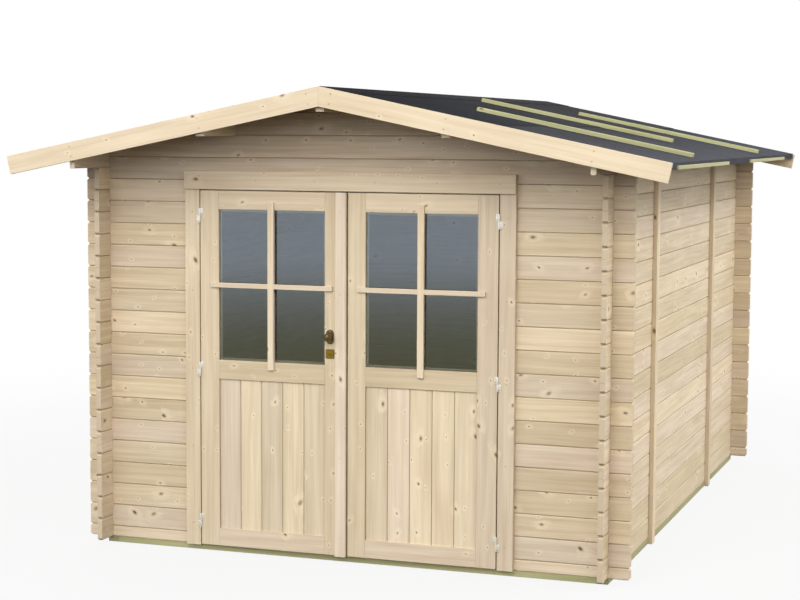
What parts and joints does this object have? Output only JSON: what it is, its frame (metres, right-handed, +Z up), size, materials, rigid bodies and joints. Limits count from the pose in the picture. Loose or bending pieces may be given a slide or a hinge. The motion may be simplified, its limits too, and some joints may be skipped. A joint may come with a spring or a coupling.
{
  "type": "wooden garden shed",
  "caption": "Log-built wooden garden shed with interlocking corners, a low felted gable roof and a glazed outward-opening double door.",
  "frame": {"origin": "on the ground under the middle of the roof", "axes": "+Z up, the doors face -Y, +X to the right of someone facing the doors"},
  "size_m": [3.5, 4.35, 2.4524],
  "materials": {
    "bare_wood": "untreated planed spruce logs with knots",
    "door_wood": "untreated planed spruce joinery",
    "planed_wood": "pale planed spruce boards",
    "treated_wood": "green pressure-treated softwood",
    "roof_felt": "matt bitumen felt with fine grit",
    "window_glass": "clear float glass",
    "zinc": "zinc-plated steel",
    "bronze": "dark bronzed",
    "brass": "worn brass"
  },
  "bodies": {
    "shed": {"foundation_side_beams": "treated_wood", "foundation_end_beams": "treated_wood", "floor_joists": "treated_wood", "floor": "bare_wood", "left_wall": "bare_wood", "right_wall": "bare_wood", "front_wall_left": "bare_wood", "front_wall_right": "bare_wood", "front_gable": "bare_wood", "rear_wall": "bare_wood", "rear_gable": "bare_wood", "left_wall_plate": "bare_wood", "right_wall_plate": "bare_wood", "ridge_purlin": "bare_wood", "side_purlins": "bare_wood", "left_roof_boards": "bare_wood", "right_roof_boards": "bare_wood", "roof_felt": "roof_felt", "front_left_bargeboard": "planed_wood", "front_right_bargeboard": "planed_wood", "rear_left_bargeboard": "planed_wood", "rear_right_bargeboard": "planed_wood", "eave_strips": "treated_wood", "roof_battens": "treated_wood", "storm_braces": "bare_wood", "left_door_post": "door_wood", "right_door_post": "door_wood", "door_head": "door_wood", "threshold": "door_wood", "frame_hinges": "zinc"},
    "left_leaf": {"left_stiles": "door_wood", "left_rails": "door_wood", "left_panel": "door_wood", "left_glass": "window_glass", "left_glazing_bars": "planed_wood", "left_hinges": "zinc", "cover_strip": "planed_wood", "door_knob": "bronze", "lock_plate": "brass"},
    "right_leaf": {"right_stiles": "door_wood", "right_rails": "door_wood", "right_panel": "door_wood", "right_glass": "window_glass", "right_glazing_bars": "planed_wood", "right_hinges": "zinc"}
  },
  "joints": [
    {"name": "left_door", "type": "hinge", "parent": "shed", "child": "left_leaf", "pos_m": [-0.819, -1.8085, 0.98], "axis": [0, 0, -1], "range_deg": [0, 110]},
    {"name": "right_door", "type": "hinge", "parent": "shed", "child": "right_leaf", "pos_m": [0.819, -1.8085, 0.98], "axis": [0, 0, 1], "range_deg": [0, 110]}
  ]
}
